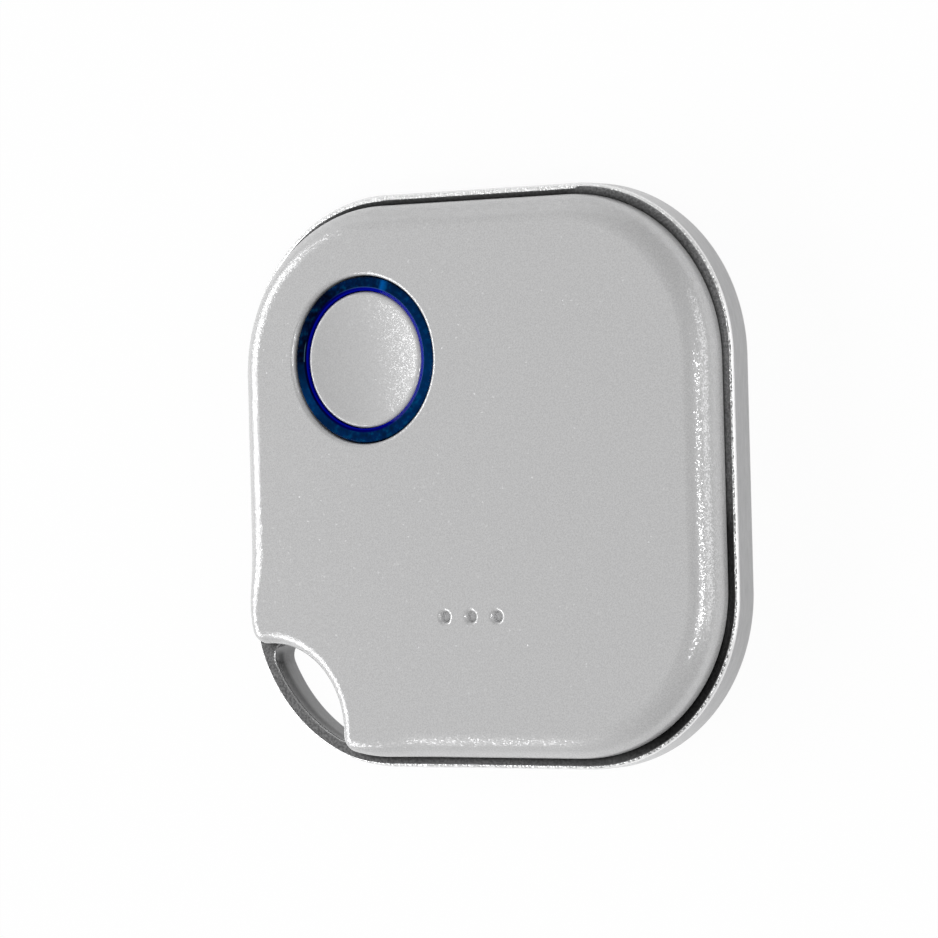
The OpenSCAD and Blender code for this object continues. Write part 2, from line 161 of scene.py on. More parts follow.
class CaseColours(PropertyGroup):
    """Colours of the finishes that show."""

    shell: FloatVectorProperty(name="Shell", description="Metallic grey of the shells",
                               default=(0.5, 0.5, 0.502, 1), **COLOUR)
    cap: FloatVectorProperty(name="Button", description="Grey of the button",
                             default=(0.495, 0.495, 0.497, 1), **COLOUR)
    metal: FloatVectorProperty(name="Frame", description="Polished frame",
                               default=(0.56, 0.56, 0.565, 1), **COLOUR)
    ring: FloatVectorProperty(name="Ring", description="Deep blue of the light ring",
                              default=(0.0, 0.007, 0.041, 1), **COLOUR)
    # Blue of the painted glint streaks in the light ring
    ring_glint_blue: FloatVectorProperty(name="Ring streaks", description="Brighter blue inside the light ring",
                                   default=(0.0, 0.095, 0.37, 1), **COLOUR)
    board: FloatVectorProperty(name="Board", description="Solder mask of the board",
                               default=(0.02, 0.12, 0.06, 1), **COLOUR)


class StageSettings(PropertyGroup):
    """Camera and light."""

    key: FloatProperty(name="Key light", description="Large soft light at the lower left", default=86.0, **POWER)
    rim: FloatProperty(name="Edge light", description="Strip light below the camera", default=22.0, **POWER)
    side: FloatProperty(name="Side light", description="Large dim light at the right", default=25.5, **POWER)
    sky: FloatProperty(name="Room light", description="Strength of the even room light", default=0.22, min=0)
    lens: FloatProperty(name="Lens", description="Focal length on a 36 mm sensor",
                        default=186.3, min=1, unit="CAMERA")


class FobSettings(PropertyGroup):
    """All settings of the smart button."""

    sizes: PointerProperty(type=CaseSizes, name="Sizes", description="Sizes of the case")
    colours: PointerProperty(type=CaseColours, name="Colours", description="Colours of the finishes")
    stage: PointerProperty(type=StageSettings, name="Stage", description="Camera and light")


# Drawing with operators: a pen extrudes lines and spins arcs from one vertex

def line(x, y):
    return ("line", Vector((x, y, 0)))


def arc(centre, angle, steps):
    return ("arc", Vector((centre[0], centre[1], 0)), angle, steps)


def cut_line(x, z):
    return ("line", Vector((x, 0, z)))


def cut_arc(x, z, angle, steps):
    return ("arc", Vector((x, 0, z)), angle, steps)


def pen(bm, start, moves, axis=Z_AXIS):
    """Draws a chain of edges from a start point."""
    tip = bmesh.ops.create_vert(bm, co=start)["vert"][0]
    for move in moves:
        if move[0] == "line":
            tip = bmesh.ops.extrude_vert_indiv(bm, verts=[tip])["verts"][0]
            bmesh.ops.translate(bm, verts=[tip], vec=move[1])
        else:
            made = bmesh.ops.spin(bm, geom=[tip], cent=move[1], axis=axis, angle=move[2], steps=move[3])
            tip = [g for g in made["geom_last"] if isinstance(g, bmesh.types.BMVert)][0]


def on_circle(centre, radius, angle):
    return centre[0] + radius * math.cos(angle), centre[1] + radius * math.sin(angle)


def triangle(near, far, away):
    """Angles of a triangle with these three sides, between near and away and between far and away."""
    return (math.acos((near ** 2 + away ** 2 - far ** 2) / (2 * near * away)),
            math.acos((far ** 2 + away ** 2 - near ** 2) / (2 * far * away)))


def square_path(a, r, steps):
    """Start and moves of a square with round corners, of half side a."""
    c = a - r
    moves = []
    for k in range(4):
        turn = Matrix.Rotation(k * QUARTER, 2)
        moves.append(line(*(turn @ Vector((0, 2 * c)))))
        moves.append(arc(turn @ Vector((c, c)), QUARTER, steps))
    return (a, -c, 0), moves


def notched_path(a, r, place, notch, blend, steps):
    """The same with a round notch at the lower left corner, joined by tangent blends where blend is over 0."""
    c = a - r
    run, parts = 3.0, 8
    at_corner, at_notch = triangle(r - blend, notch + blend, (place - c) * math.sqrt(2))
    joins = [], []
    if blend:
        for join, side in zip(joins, (-1, 1)):
            centre = on_circle((-c, -c), r - blend, NOTCH_WAY + side * at_corner)
            join.append(arc(centre, at_corner + at_notch, 14))
    short = arc((-c, -c), math.pi / 4 - at_corner, 8)
    moves = [line(0, 2 * c), arc((c, c), QUARTER, steps), line(-2 * c, 0), arc((-c, c), QUARTER, steps)]
    moves += [line(0, run - 2 * c)] + [line(0, -run / parts)] * parts + [short] + joins[0]
    moves.append(arc((-place, -place), -2 * at_notch, 40))
    moves += joins[1] + [short] + [line(run / parts, 0)] * parts
    moves += [line(2 * c - run, 0), arc((c, -c), QUARTER, steps)]
    return (a, -c, 0), moves


def inset_path(s, half, corner, wall, notch_wall, steps):
    """A notched outline set in by a wall, with sharp ends at the notch."""
    return notched_path(half - wall, corner - wall, s["notch_place"], s["notch"] + notch_wall, 0, steps)


def eye_path(s):
    """The key eye: the notch on one side, the inside of the bar on the other, and round tips between them."""
    c, r = s["half"] - s["corner"], s["corner"] - s["bar"]
    place, notch, tip = s["notch_place"], s["notch"], s["eye_tip"]
    at_bar, at_notch = triangle(r - tip, notch - tip, (place - c) * math.sqrt(2))
    first, last = [on_circle((-c, -c), r - tip, NOTCH_WAY + side * at_bar) for side in (-1, 1)]
    round_tip = math.pi - at_bar - at_notch
    moves = [arc((-c, -c), 2 * at_bar, 48), arc(last, round_tip, 16),
             arc((-place, -place), 2 * at_notch, 48), arc(first, round_tip, 16)]
    return (*on_circle((-c, -c), r, NOTCH_WAY - at_bar), 0), moves


def closed(bm):
    """Fills open rims and turns all faces outwards."""
    bmesh.ops.remove_doubles(bm, verts=bm.verts[:], dist=MERGE)
    bmesh.ops.holes_fill(bm, edges=[e for e in bm.edges if e.is_boundary], sides=0)
    bmesh.ops.recalc_face_normals(bm, faces=bm.faces[:])
    return bm


def prism(path, z0, z1):
    """A closed block between two heights, with the outline that the pen draws."""
    bm = bmesh.new()
    pen(bm, path[0], path[1])
    bmesh.ops.remove_doubles(bm, verts=bm.verts[:], dist=MERGE)
    bmesh.ops.contextual_create(bm, geom=bm.edges[:])
    bmesh.ops.translate(bm, verts=bm.verts[:], vec=(0, 0, z0))
    raised = bmesh.ops.extrude_face_region(bm, geom=bm.faces[:])["geom"]
    bmesh.ops.translate(bm, verts=[g for g in raised if isinstance(g, bmesh.types.BMVert)], vec=(0, 0, z1 - z0))
    return closed(bm)


def lathe(start, moves, steps, centre=(0, 0)):
    """A turned solid: the pen draws its half section in the XZ plane, which is spun about Z."""
    bm = bmesh.new()
    pen(bm, (start[0], 0, start[1]), moves, LATHE_AXIS)
    bmesh.ops.spin(bm, geom=bm.verts[:] + bm.edges[:], cent=(0, 0, 0), axis=Z_AXIS, angle=2 * math.pi,
                   steps=steps, use_merge=True)
    closed(bm)
    bmesh.ops.translate(bm, verts=bm.verts[:], vec=(centre[0], centre[1], 0))
    return bm


def rod(r, z0, z1, steps, centre):
    return lathe((0, z0), [cut_line(r, 0), cut_line(0, z1 - z0), cut_line(-r, 0)], steps, centre)


def tube(bore, r, z0, z1, steps, centre):
    return lathe((bore, z0), [cut_line(r - bore, 0), cut_line(0, z1 - z0), cut_line(bore - r, 0),
                              cut_line(0, z0 - z1)], steps, centre)


def rim_hole(r, z0, z1, e, steps, centre):
    """Cutter for a round hole whose mouth at z1 is rounded by e."""
    return lathe((0, z0), [cut_line(r, 0), cut_line(0, z1 - e - z0), cut_arc(r + e, z1 - e, -QUARTER, 8),
                           cut_line(0, CLEAR), cut_line(-r - e, 0)], steps, centre)


def soften(bm, edges, width, segments):
    """Rounds edges."""
    bmesh.ops.bevel(bm, geom=edges, offset=width, offset_type="OFFSET", segments=segments, profile=0.5,
                    affect="EDGES", material=-1)


def block(centre, size, soft=0.0):
    """A box with its edges rounded."""
    bm = bmesh.new()
    place = Matrix.Translation(centre) @ Matrix.Diagonal((*size, 1))
    bmesh.ops.create_cube(bm, size=1, matrix=place)
    if soft:
        soften(bm, bm.edges[:], soft, 3)
    return bm


def as_object(bm, name):
    mesh = bpy.data.meshes.new(name)
    bm.to_mesh(mesh)
    bm.free()
    obj = bpy.data.objects.new(name, mesh)
    bpy.context.collection.objects.link(obj)
    return obj


def modified(obj):
    """A new mesh of the object with its modifiers applied."""
    bpy.context.view_layer.update()
    return bpy.data.meshes.new_from_object(obj.evaluated_get(bpy.context.evaluated_depsgraph_get()))


def drop(obj):
    mesh = obj.data
    bpy.data.objects.remove(obj)
    bpy.data.meshes.remove(mesh)


def applied(obj):
    """The object's mesh with its modifiers applied, as a bmesh. The object goes."""
    mesh = modified(obj)
    bm = bmesh.new()
    bm.from_mesh(mesh)
    bpy.data.meshes.remove(mesh)
    drop(obj)
    return bm


def carved(bm, cutters, joins=(), mode="DIFFERENCE"):
    """bm with the joins and less the cutters. In mode INTERSECT it keeps what lies in the cutters."""
    obj = as_object(bm, "work")
    tools = []
    for tool, operation in [(t, "UNION") for t in joins] + [(t, mode) for t in cutters]:
        tools.append(as_object(tool, "tool"))
        change = obj.modifiers.new("carve", "BOOLEAN")
        change.operation = operation
        change.solver = "EXACT"
        change.object = tools[-1]
    result = applied(obj)
    for tool in tools:
        drop(tool)
    bmesh.ops.remove_doubles(result, verts=result.verts[:], dist=MERGE)
    return result


def finished(bm, name, material, node, body, weight=50):
    """Shades a piece, sets it to metres and hands it to the frame."""
    for face in bm.faces:
        face.smooth = True
    for edge in bm.edges:
        edge.smooth = len(edge.link_faces) == 2 and edge.calc_face_angle(0) < SHARP
    obj = as_object(bm, name)
    even = obj.modifiers.new("Even shading", "WEIGHTED_NORMAL")
    even.mode = "FACE_AREA"
    even.weight = weight
    even.keep_sharp = True
    rough = obj.data
    obj.data = modified(obj)
    obj.modifiers.clear()
    bpy.data.meshes.remove(rough)
    obj.data.name = name
    obj.data.transform(Matrix.Scale(MM, 4))
    obj.data.materials.append(material)
    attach(obj, body)
    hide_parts(node)
    return obj


# Finishes

class Graph:
    """Adds and links the nodes of a tree."""

    def __init__(self, tree):
        self.nodes, self.links = tree.nodes, tree.links

    def add(self, kind, inputs=(), **settings):
        node = self.nodes.new(kind)
        for key, value in settings.items():
            setattr(node, key, value)
        for key, value in dict(inputs).items():
            if isinstance(value, bpy.types.NodeSocket):
                self.links.new(value, node.inputs[key])
            else:
                node.inputs[key].default_value = value
        return node

    def number(self, operation, *values):
        return self.add("ShaderNodeMath", enumerate(values), operation=operation).outputs[0]

    def vector(self, operation, *values):
        """A vector operation. Its result is a number where the operation gives one."""
        node = self.add("ShaderNodeVectorMath", enumerate(values), operation=operation)
        return node.outputs["Value" if operation in ("DOT_PRODUCT", "DISTANCE", "LENGTH") else "Vector"]

    def axes(self, vector):
        return self.add("ShaderNodeSeparateXYZ", {0: vector}).outputs

    def spread(self, value, low, high, to_low, to_high, **settings):
        return self.add("ShaderNodeMapRange", {"Value": value, "From Min": low, "From Max": high, "To Min": to_low,
                                               "To Max": to_high}, **settings).outputs["Result"]

    def seen(self, camera, mirror):
        """A share that is given for camera rays and for mirror rays, and is 0 for all others."""
        rays = self.add("ShaderNodeLightPath").outputs
        shiny = self.number("MAXIMUM", rays["Is Glossy Ray"], rays["Is Transmission Ray"])
        return self.number("MULTIPLY_ADD", rays["Is Camera Ray"], camera, self.number("MULTIPLY", shiny, mirror))


class Finish(Graph):
    """A material with its nodes, built round the surface shader."""

    def __init__(self, name, **values):
        self.material = bpy.data.materials.new(name)
        self.material.use_nodes = True
        super().__init__(self.material.node_tree)
        self.shader = self.nodes["Principled BSDF"]
        self.place = self.add("ShaderNodeTexCoord").outputs["Object"]
        for key, value in values.items():
            self.shader.inputs[key.replace("_", " ")].default_value = value

    def noise(self, scale, detail=2.0, rough=0.5, at=None):
        return self.add("ShaderNodeTexNoise", {"Vector": at or self.place, "Scale": scale, "Detail": detail,
                                               "Roughness": rough}).outputs["Fac"]

    def stretched(self, scale, shift=(0, 0, 0)):
        return self.add("ShaderNodeMapping", {"Vector": self.place, "Scale": scale,
                                              "Location": shift}).outputs["Vector"]

    def facing(self):
        return self.add("ShaderNodeNewGeometry").outputs["Normal"]

    def tones(self, value, stops):
        ramp = self.add("ShaderNodeValToRGB", {"Fac": value})
        band = ramp.color_ramp
        for k, (place, colour) in enumerate(stops):
            stop = band.elements[k] if k < 2 else band.elements.new(place)
            stop.position = place
            stop.color = (*colour[:3], 1)
        return ramp.outputs["Color"]

    def greys(self, value, *stops):
        return self.tones(value, [(place, (grey, grey, grey)) for place, grey in stops])

    def mix(self, factor, a, b, blend="MIX"):
        return self.add("ShaderNodeMix", {0: factor, 6: a, 7: b}, data_type="RGBA", blend_type=blend).outputs[2]

    def times(self, factor, tone, by):
        return self.mix(factor, tone, by, "MULTIPLY")

    def relief(self, height, strength, distance, below=None):
        node = self.add("ShaderNodeBump", {"Height": height, "Strength": strength, "Distance": distance})
        if below is not None:
            self.links.new(below, node.inputs["Normal"])
        return node.outputs["Normal"]

    def into(self, key, value):
        self.links.new(value, self.shader.inputs[key])

    def blended(self, share, first, second):
        """A blend of two shaders."""
        return self.add("ShaderNodeMixShader", {0: share, 1: first, 2: second}).outputs[0]

    def surface(self, shader):
        self.links.new(shader, self.nodes["Material Output"].inputs["Surface"])


def tinted(colour, factor):
    return tuple(min(1.0, c * factor) for c in colour[:3]) + (1,)


def metallic_grey(name, colour, coat, glint):
    """Satin lacquer with fine metal flakes, each tilted its own way and a few tilted far."""
    f = Finish(name, IOR=1.5, Coat_Weight=coat, Coat_Roughness=0.24)
    grain = f.noise(9000, 2, 0.6)
    f.into("Base Color", f.tones(grain, [(0.3, tinted(colour, 0.93)), (0.5, colour), (0.72, tinted(colour, 1.09))]))
    f.into("Roughness", f.spread(grain, 0.3, 0.7, 0.4, 0.48))
    f.into("Normal", f.relief(grain, 0.1, 0.00001))
    tilt = f.add("ShaderNodeTexVoronoi", {"Vector": f.place, "Scale": 15000}).outputs["Color"]
    pick = f.add("ShaderNodeSeparateColor", {0: tilt}).outputs["Blue"]
    reach = f.spread(pick, 0.985, 0.988, 0.19, 0.4)
    lean = f.vector("MULTIPLY", f.vector("SUBTRACT", tilt, (0.5, 0.5, 0.5)), reach)
    facet = f.vector("NORMALIZE", f.vector("ADD", f.facing(), lean))
    flake = f.add("ShaderNodeBsdfAnisotropic", {"Color": (0.96, 0.96, 0.97, 1), "Roughness": 0.17, "Normal": facet})
    share = f.greys(pick, (0.5, 0), (0.55, glint), (0.975, glint), (0.985, glint / 2))
    f.surface(f.blended(share, f.shader.outputs[0], flake.outputs[0]))
    return f.material


def polished_metal_with_painted_light(name, colour, eye):
    """Bright plated metal with faint polishing marks, a beaded lip with a painted highlight, and painted shade in the
    seams, in the key eye and on the ledge.
    """
    f = Finish(name, Metallic=1.0)
    marks = f.noise(900, 4, 0.6, f.stretched((1, 1, 6)))
    specks, grit = f.noise(5200), f.noise(6000)
    spot, flat = f.axes(f.place), f.stretched((1, 1, 0))
    facing = f.facing()
    up = f.axes(facing)["Z"]

    # Zones: the level ledge, the upper side, the key eye and the lip, which gets a painted highlight, with its inner
    # half
    level = f.spread(up, 0.97, 0.99, 0.0, 1.0)
    top = f.number("MULTIPLY", f.spread(spot["X"], 0.0066, 0.0076, 1.0, 0.0),
                   f.spread(spot["Y"], 0.0164, 0.0171, 0.0, 1.0))
    away = f.spread(f.vector("DISTANCE", flat, (eye[0], eye[1], 0)), 0.0063, 0.0078, 0.0, 1.0)
    near = f.spread(away, 0.0, 1.0, 1.0, 0.0)
    narrow = f.greys(up, (0.15, 0), (0.4, 1), (0.9, 1), (0.97, 0))
    wide = f.greys(up, (0.15, 0), (0.4, 1), (0.985, 1), (0.998, 0))
    # Painted highlight on the lip, wider along the upper side and weaker near the key eye
    lip_highlight_zone = f.times(1.0, f.mix(top, narrow, wide), f.spread(away, 0.0, 1.0, 0.35, 1.0))
    inner = f.spread(up, 0.68, 0.82, 0.0, 1.0)

    # Tone of the metal, with painted shade in the seams, in the key eye and on the ledge
    tone = f.tones(marks, [(0.3, tinted(colour, 0.94)), (0.7, tinted(colour, 1.06))])
    # Painted shade: darker where ambient occlusion finds other surfaces close by
    seam_shade = f.add("ShaderNodeAmbientOcclusion", {"Distance": 0.0011}, samples=8).outputs["AO"]
    tone = f.times(1.0, tone, f.greys(f.spread(seam_shade, 0.55, 0.92, 0.0, 1.0), (0.0, 0.04), (1.0, 1)))
    # Painted shade in the key eye: its walls at half, its upward faces at 0.8
    tone = f.times(near, tone, f.greys(up, (0.3, 0.5), (0.9, 0.8)))
    tone = f.times(level, tone, f.greys(grit, (0.4, 0.75), (0.6, 1.3)))
    # Painted shade on the ledge, darker towards the lower right
    corner = f.vector("DOT_PRODUCT", f.vector("NORMALIZE", flat), (0.85, -0.53, 0))
    tone = f.times(level, tone, f.greys(corner, (0.5, 1), (0.86, 0.65), (0.94, 0.12)))
    # Painted shade on the ledge along the upper side, at half
    tone = f.times(f.number("MULTIPLY", level, top), tone, (0.5, 0.5, 0.5, 1))
    # Painted bands of shade by height on the inward-facing wall of the key eye
    height = f.spread(spot["Z"], 0.0018, 0.0042, 0.0, 1.0)
    inward = f.spread(f.vector("DOT_PRODUCT", facing, (0.7, 0.7, 0)), 0.3, 0.6, 0.0, 1.0)
    painted_wall_bands = f.greys(height, (0.0, 1), (0.45, 0.95), (0.6, 0.45), (0.7, 0.5), (0.84, 0.85))
    tone = f.times(f.number("MULTIPLY", near, inward), tone, painted_wall_bands)

    # The lip's painted highlight: near-white beads, with painted shade between them towards the lower right
    lower = f.vector("DOT_PRODUCT", facing, (0.8, -0.5, 0))
    between = f.mix(inner, (0.95, 0.95, 0.95, 1), f.greys(lower, (0.0, 0.9), (0.3, 0.38), (0.5, 0.08)))
    lip_highlight_colour = f.mix(f.spread(grit, 0.42, 0.54, 0.0, 1.0), between, (0.97, 0.97, 0.97, 1))
    beads = f.relief(grit, f.times(1.0, lip_highlight_zone, inner), 0.00018)

    # Painted highlight: the lip gets a near-white, less metallic colour
    f.into("Base Color", f.mix(lip_highlight_zone, tone, lip_highlight_colour))
    f.into("Roughness", f.mix(lip_highlight_zone, f.spread(specks, 0.3, 0.75, 0.1, 0.2), (0.26, 0.26, 0.26, 1)))
    f.into("Metallic", f.spread(lip_highlight_zone, 0.0, 1.0, 1.0, 0.45))
    f.into("Normal", f.relief(marks, 0.03, 0.00004, f.relief(specks, 0.05, 0.00002, beads)))
    return f.material


def clear_blue(name, deep, glint_blue, centre, edge):
    """Deep blue light guide, glossy and mottled, with painted light: glint streaks at a few angles, an inner bevel
    bluer at the right and top and darker at the left, a pale painted highlight on the ridge, and a bright blue band
    at the bore.
    """
    f = Finish(name, Roughness=0.07, Specular_IOR_Level=0.03)
    local = f.stretched((1, 1, 0), shift=(-centre[0], -centre[1], 0))
    reach = f.vector("LENGTH", local)
    around = f.add("ShaderNodeTexGradient", {"Vector": local}, gradient_type="RADIAL").outputs["Fac"]
    swirl = f.noise(2600, 3, 0.6)
    body = f.tones(swirl, [(0.35, tinted(deep, 0.25)), (0.52, deep), (0.72, (0, deep[1] * 6, deep[2] * 2.4))])
    body = f.times(1.0, body, f.tones(f.noise(450), [(0.36, (0.3, 0.3, 0.35)), (0.62, (1.25, 1.25, 1.25))]))
    # Painted glints: lighter streaks at a few angles round the ring
    glint_streaks = f.greys(around, (0.0, 0.04), (0.07, 0.2), (0.2, 0.1), (0.3, 0.08), (0.47, 0.2), (0.56, 0.15),
                     (0.685, 0.08), (0.693, 0.65), (0.7, 0.9), (0.707, 0.08), (0.85, 0))
    body = f.mix(glint_streaks, body, glint_blue)
    # Painted light on the inner bevel: bluer at the right and the top, darker at the left
    bevel = f.tones(around, [(0.0, (0, 0, 0.015)), (0.12, (0, 0, 0.04)), (0.3, (0, 0, 0.12)), (0.5, (0, 0.006, 0.28)),
                             (0.72, (0, 0.003, 0.24)), (0.82, (0, 0, 0.09)), (0.92, (0, 0, 0.02))])
    body = f.mix(f.spread(reach, edge - 0.00003, edge + 0.00003, 1.0, 0.0), body, bevel)
    body = f.mix(f.spread(reach, edge - 0.00017, edge - 0.00012, 1.0, 0.0), body, (0, 0.002, 0.26, 1))
    # Painted highlight: a pale line along the ridge, from the right round to the top and just above the left
    ridge_highlight_band = f.greys(f.spread(reach, edge - 0.00004, edge + 0.00004, 0.0, 1.0), (0.0, 0), (0.5, 0.18), (1.0, 0))
    painted_ridge_highlight = f.greys(around, (0.3, 0), (0.45, 1), (0.75, 1), (0.85, 0), (0.955, 0), (0.965, 2))
    f.into("Base Color", f.mix(f.times(1.0, ridge_highlight_band, painted_ridge_highlight), body, (0.14, 0.34, 0.46, 1)))
    f.into("Normal", f.relief(swirl, 0.05, 0.00006))
    return f.material


def moulded(name, colour, rough, gloss=0.5):
    """Plain moulded plastic, rubber or resin with a fine skin."""
    f = Finish(name, Specular_IOR_Level=gloss)
    skin = f.noise(7000, 3, 0.6)
    f.into("Base Color", f.tones(skin, [(0.3, tinted(colour, 0.85)), (0.7, tinted(colour, 1.15))]))
    f.into("Roughness", f.spread(skin, 0.3, 0.7, rough - 0.06, rough + 0.06))
    f.into("Normal", f.relief(skin, 0.2, 0.00002))
    return f.material


def rolled_metal(name, colour, rough, along):
    """Sheet metal with the fine lines of rolling or turning."""
    f = Finish(name, Metallic=1.0)
    lines = f.noise(1, 3, 0.6, f.stretched(along))
    f.into("Base Color", f.tones(lines, [(0.3, tinted(colour, 0.88)), (0.7, tinted(colour, 1.1))]))
    f.into("Roughness", f.spread(lines, 0.3, 0.7, rough - 0.06, rough + 0.08))
    f.into("Normal", f.relief(lines, 0.1, 0.00001))
    return f.material


def solder_mask(name, colour):
    """Green lacquer over glass cloth."""
    f = Finish(name, Roughness=0.3, Coat_Weight=0.3)
    weave = f.add("ShaderNodeTexChecker", {"Vector": f.place, "Scale": 2600}).outputs["Fac"]
    cloud = f.noise(500, 3)
    f.into("Base Color", f.tones(cloud, [(0.3, tinted(colour, 0.8)), (0.7, tinted(colour, 1.3))]))
    f.into("Normal", f.relief(weave, 0.08, 0.00001))
    return f.material


def woven(name, colour):
    """Fine acoustic cloth."""
    f = Finish(name, Roughness=0.8, Sheen_Weight=0.2)
    threads = {"Vector": f.place, "Scale": 4200, "Distortion": 0.4}
    across, along = [f.add("ShaderNodeTexWave", threads, bands_direction=way).outputs["Fac"] for way in "XY"]
    both = f.number("MULTIPLY", across, along)
    f.into("Base Color", f.tones(both, [(0.05, tinted(colour, 0.6)), (0.6, tinted(colour, 1.25))]))
    f.into("Normal", f.relief(both, 0.4, 0.00004))
    return f.material


def dress(node, material):
    """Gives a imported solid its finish."""
    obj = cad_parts[node]
    if not obj.material_slots:
        obj.data.materials.append(None)
    for place in obj.material_slots:
        place.link = "OBJECT"
        place.material = material


# Forms that several pieces share

def sizes():
    """The case's sizes in millimetres."""
    s = bpy.context.scene.fob.sizes
    return {key: getattr(s, key) / MM for key in CaseSizes.__annotations__}


def button_centre(s):
    return -s["button_place"], s["button_place"]


def screw_places(s):
    h = s["half"]
    return (h - 6.8, h - 6.8), (h - 6.4, 5.6 - h), (4 - h, 0.9)


def copied(node):
    """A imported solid's mesh, merged and set to millimetres."""
    bm = bmesh.new()
    bm.from_mesh(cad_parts[node].data)
    bmesh.ops.scale(bm, vec=(1 / MM, 1 / MM, 1 / MM), verts=bm.verts[:])
    bmesh.ops.remove_doubles(bm, verts=bm.verts[:], dist=MERGE)
    return bm


def eased(s, at, near, run, small, large):
    """A width that grows from small, near the notch centre, to large, a run further out."""
    centre = Vector((-s["notch_place"], -s["notch_place"]))
    t = min(1.0, max(0.0, ((at - centre).length - near) / run))
    return small + (large - small) * t * t * (3 - 2 * t)


def rounded(bm, levels, largest, segments):
    """Rounds the edges that lie at the given heights, each as wide as that level's rule says at its place."""
    obj = as_object(bm, "work")
    weights = obj.data.attributes.new("bevel_weight_edge", "FLOAT", "EDGE")
    for edge in obj.data.edges:
        ends = [obj.data.vertices[v].co for v in edge.vertices]
        for z, width in levels:
            if all(abs(v.z - z) < MERGE for v in ends):
                weights.data[edge.index].value = width((ends[0].xy + ends[1].xy) / 2) / largest
    soft = obj.modifiers.new("edge", "BEVEL")
    soft.limit_method = "WEIGHT"
    soft.width = largest
    soft.segments = segments
    soft.profile = 0.5
    soft.use_clamp_overlap = False
    return applied(obj)


def pebble(s, seat, face):
    """One shell's outer form, with a rounded edge that is finer along the notch. Face may be below seat."""
    path = notched_path(s["shell_half"], s["shell_corner"], s["notch_place"], s["notch"], s["blend"], 36)
    bm = prism(path, min(seat, face), max(seat, face))
    near = s["notch"] + s["blend"]
    return rounded(bm, [(face, lambda at: eased(s, at, near, 5.3, s["notch_edge"], s["edge"]))], s["edge"], 12)


class FOB_OT_front_shell(Operator):
    """Grey face of the case, with the bore for the light ring and the sound holes"""

    bl_idname = "fob.front_shell"
    bl_label = "Front shell"

    def execute(self, context):
        s = sizes()
        seat, foot = high_z("mid_frame") / MM, high_z("main_board") / MM
        face = s["face_z"]
        inner = face - FACE_WALL
        below = inner - 0.5
        path = inset_path(s, s["shell_half"], s["shell_corner"], FRONT_WALL, FRONT_WALL, 24)
        cutters = [prism(path, seat - CLEAR, inner),
                   rim_hole(s["ring_outer"] + FIT_GAP, below, face, RING_RIM, 128, button_centre(s)),
                   rod(SOUND_SEAT, below, face - SOUND_WALL, 64, (0, s["hole_y"]))]
        for k in (-1, 0, 1):
            cutters.append(rim_hole(s["hole"], below, face, HOLE_RIM, 44, (k * s["hole_pitch"], s["hole_y"])))
        path = inset_path(s, s["half"], s["corner"], SKIRT_INSET, SKIRT_NOTCH, 24)
        skirt = prism(path, seat - SKIRT_DEPTH, seat + OVERLAP)
        bm = carved(pebble(s, seat, face), cutters, [skirt])
        for at in screw_places(s):
            bm = carved(bm, [], [tube(BOSS_BORE, BOSS_RADIUS, inner + OVERLAP, foot, 40, at)])
        grey = metallic_grey("shell grey", tuple(context.scene.fob.colours.shell), 0.8, 0.17)
        finished(bm, "FrontShell", grey, "front_shell", "case")
        return {"FINISHED"}


class FOB_OT_back_cover(Operator):
    """Rear shell that slides off, with its thumb grip and hooks"""

    bl_idname = "fob.back_cover"
    bl_label = "Back cover"

    def execute(self, context):
        s = sizes()
        seat = low_z("mid_frame") / MM - RUN_GAP
        path = inset_path(s, s["shell_half"], s["shell_corner"], COVER_WALL, COVER_WALL, 24)
        hollow = prism(path, COVER_FLOOR, seat + CLEAR)
        reach, radius, depth = 4, 2.2, 0.3
        grip_y = 7.5 - s["half"]
        stadium = [arc((reach, grip_y), math.pi, 24), line(-2 * reach, 0),
                   arc((-reach, grip_y), math.pi, 24), line(2 * reach, 0)]
        grip = prism(((reach, grip_y - radius, 0), stadium), -CLEAR, depth)
        ribs = [block((0, y - s["half"], 0.5), (9.6, 0.4, 0.9), 0.12) for y in (6, 7, 8, 9)]
        hooks = []
        rail = s["half"] - FRAME_WALL - RAIL_WIDTH - FIT_GAP
        stem, toe, soft = (0.7, HOOK_LENGTH, 2.2), (1.4, HOOK_LENGTH, 0.45), 0.05
        for side in (-1, 1):
            for row in HOOK_ROWS:
                y = row + HOOK_LENGTH / 2
                hooks.append(block((side * (rail - stem[0] / 2), y, 1.6), stem, soft))
                hooks.append(block((side * rail, y, 2.475), toe, soft))
        bm = carved(pebble(s, seat, 0.0), [hollow, carved(grip, ribs)], hooks)
        grey = bpy.data.materials["shell grey"]
        finished(bm, "BackCover", grey, "back_cover", "cover")
        return {"FINISHED"}


